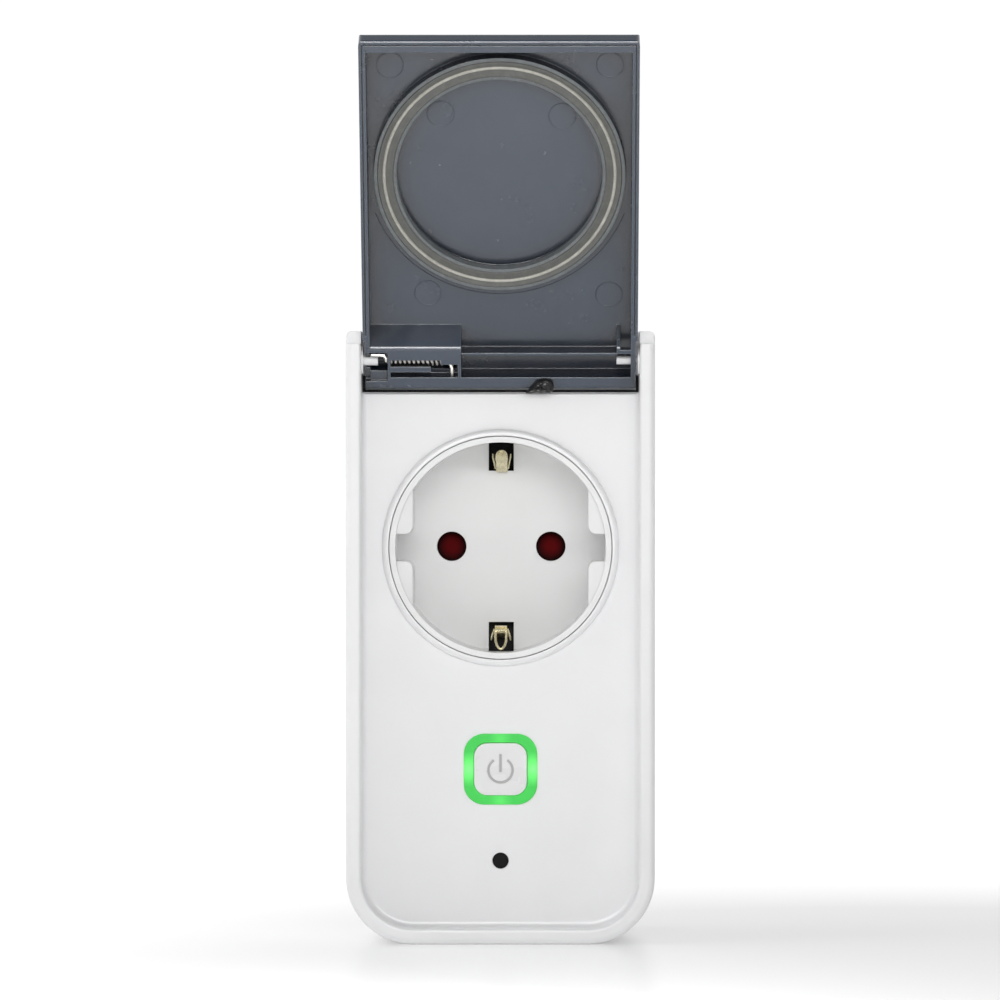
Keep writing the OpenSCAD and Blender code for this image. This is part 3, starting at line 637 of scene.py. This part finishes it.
def add_buffer():
    """Rubber buffer on the hinge edge: a squashed plug with a lobed rim and a dimpled face."""
    middle_x, middle_v = 7.5, -3.85
    outline = [(-2.75, -1.75), (-2.0, -1.0), (-1.35, -0.2), (-0.75, 0.55), (-0.1, 0.95),
               (0.8, 1.05), (1.7, 0.95), (2.3, 0.45), (2.5, -0.4), (2.45, -1.2), (1.9, -1.7),
               (1.0, -1.62), (0.2, -1.75), (-0.7, -1.6), (-1.7, -1.8)]
    # the outline's scale and the height of each ring, from the rim to the middle of the face
    rings = [(1.0, 2.1), (1.02, 2.6), (0.93, 3.0), (0.74, 3.25), (0.55, 3.1), (0.4, 3.2),
             (0.12, 3.05)]
    cuts = 3
    count = cuts * len(outline)
    verts = []
    for scale, n in rings:
        for k in range(count):
            i, t = divmod(k, cuts)
            a, b = outline[i], outline[(i + 1) % len(outline)]
            x, v = (a[j] + (b[j] - a[j]) * t / cuts for j in (0, 1))
            dimple = 0.22 * math.sin(3.1 * x + 0.6) * (1 - scale) if n > 3 else 0
            verts.append(lid_point(middle_x + x * scale, middle_v + v * scale, n + dimple))
    shape = verts, skin(len(rings), count)
    piece = add_piece("lid_buffer_dome", shape, "black", "lid")
    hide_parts("lid_buffer")


add_lid_spring()
add_earth_strip()
add_lid_seal()
add_lid_marks()
add_buffer()


# ---------- floor, light and camera ----------

def add_floor():
    """Pale floor that glows a little away from the object, so that it runs into the backdrop, and
    less near the object, a painted soft shadow round its base.
    """
    mesh = bpy.data.meshes.new("studio_floor")
    half = 30.0
    corners = [(-half, -half, 0), (half, -half, 0), (half, half, 0), (-half, half, 0)]
    mesh.from_pydata(corners, [], [(0, 1, 2, 3)])
    floor = bpy.data.objects.new("studio_floor", mesh)
    bpy.context.scene.collection.objects.link(floor)
    mat, tree, shader = new_material("studio_floor")
    place = object_coords(tree)
    drift = noise(tree, place, 3, 2)
    pale = mix_colour(tree, drift, (0.80, 0.80, 0.80), (0.82, 0.82, 0.82))
    link(tree, pale, shader.inputs["Base Color"])
    shader.inputs["Roughness"].default_value = 0.25
    shader.inputs["Emission Color"].default_value = (1, 1, 1, 1)
    # Weaker glow within 0.1 m of this point: a painted shadow round the base, reaching to its
    # right.
    away = distance_to(tree, place, (0.075, -0.03, 0))
    glow = ramp(tree, away, 0.1, 0.2, 0.15, 0.42)
    link(tree, glow, shader.inputs["Emission Strength"])
    mesh.materials.append(mat)


def add_aimed(name, data, place, aim):
    """Adds a light or the camera at a place, turned to the point that it aims at."""
    obj = bpy.data.objects.new(name, data)
    obj.location = place
    obj.rotation_mode = "QUATERNION"
    obj.rotation_quaternion = (Vector(aim) - Vector(place)).to_track_quat("-Z", "Y")
    bpy.context.scene.collection.objects.link(obj)
    return obj


def add_panel(name, place, aim, size, watts, diffuse=True):
    """Light panel. Without diffuse it only makes highlights and reflections."""
    data = bpy.data.lights.new(name, "AREA")
    data.shape = "RECTANGLE"
    data.size, data.size_y = size
    data.energy = watts
    light = add_aimed(name, data, place, aim)
    light.visible_camera = False
    light.visible_diffuse = diffuse


def add_pool():
    """Bright patch of floor in front, which the leaning lid mirrors."""
    data = bpy.data.lights.new("pool", "SPOT")
    data.energy = 20
    data.spot_size = math.radians(16)
    data.spot_blend = 1.0
    data.shadow_soft_size = 0.05
    add_aimed("pool", data, (0, -0.5, 0.7), (0, -0.185, 0))


def add_world():
    """Dim white for diffuse light. Other rays see it bright at the horizon and dim overhead."""
    world = bpy.data.worlds.new("studio")
    world.use_nodes = True
    bpy.context.scene.world = world
    tree = world.node_tree
    dim, bright = 0.4, 1.02
    back = tree.nodes["Background"]
    back.inputs["Color"].default_value = (1, 1, 1, 1)
    back.inputs["Strength"].default_value = dim
    seen = tree.nodes.new("ShaderNodeBackground")
    seen.inputs["Color"].default_value = (1, 1, 1, 1)
    coords = tree.nodes.new("ShaderNodeTexCoord")
    parts = tree.nodes.new("ShaderNodeSeparateXYZ")
    link(tree, coords.outputs["Generated"], parts.inputs["Vector"])
    link(tree, ramp(tree, parts.outputs["Z"], 0.12, 0.55, bright, dim), seen.inputs["Strength"])
    path = tree.nodes.new("ShaderNodeLightPath")
    mix = tree.nodes.new("ShaderNodeMixShader")
    link(tree, path.outputs["Is Diffuse Ray"], mix.inputs["Fac"])
    link(tree, seen.outputs["Background"], mix.inputs[1])
    link(tree, back.outputs["Background"], mix.inputs[2])
    link(tree, mix.outputs["Shader"], tree.nodes["World Output"].inputs["Surface"])


def add_camera():
    data = bpy.data.cameras.new("camera")
    data.sensor_width = 36
    data.lens = 209.5
    data.clip_start, data.clip_end = 0.01, 100
    place = Vector((9.35, FACE_Y - 1100, 91)) * MM
    aim = Vector((-0.1, FACE_Y, 83.6)) * MM
    bpy.context.scene.camera = add_aimed("camera", data, place, aim)


add_floor()
add_world()
add_panel("front", (0.12, -1.2, 0.4), (0, 0, 0.09), (0.8, 0.06), 2.5)
add_panel("side", (-0.75, -0.05, 0.6), (0.05, 0, 0), (0.8, 0.8), 3.4)
add_panel("glint", (0, -0.9, 0.5), (0, 0, 0.12), (1.0, 0.3), 18.0, diffuse=False)
add_pool()
add_camera()
bpy.context.scene.view_settings.view_transform = "Standard"
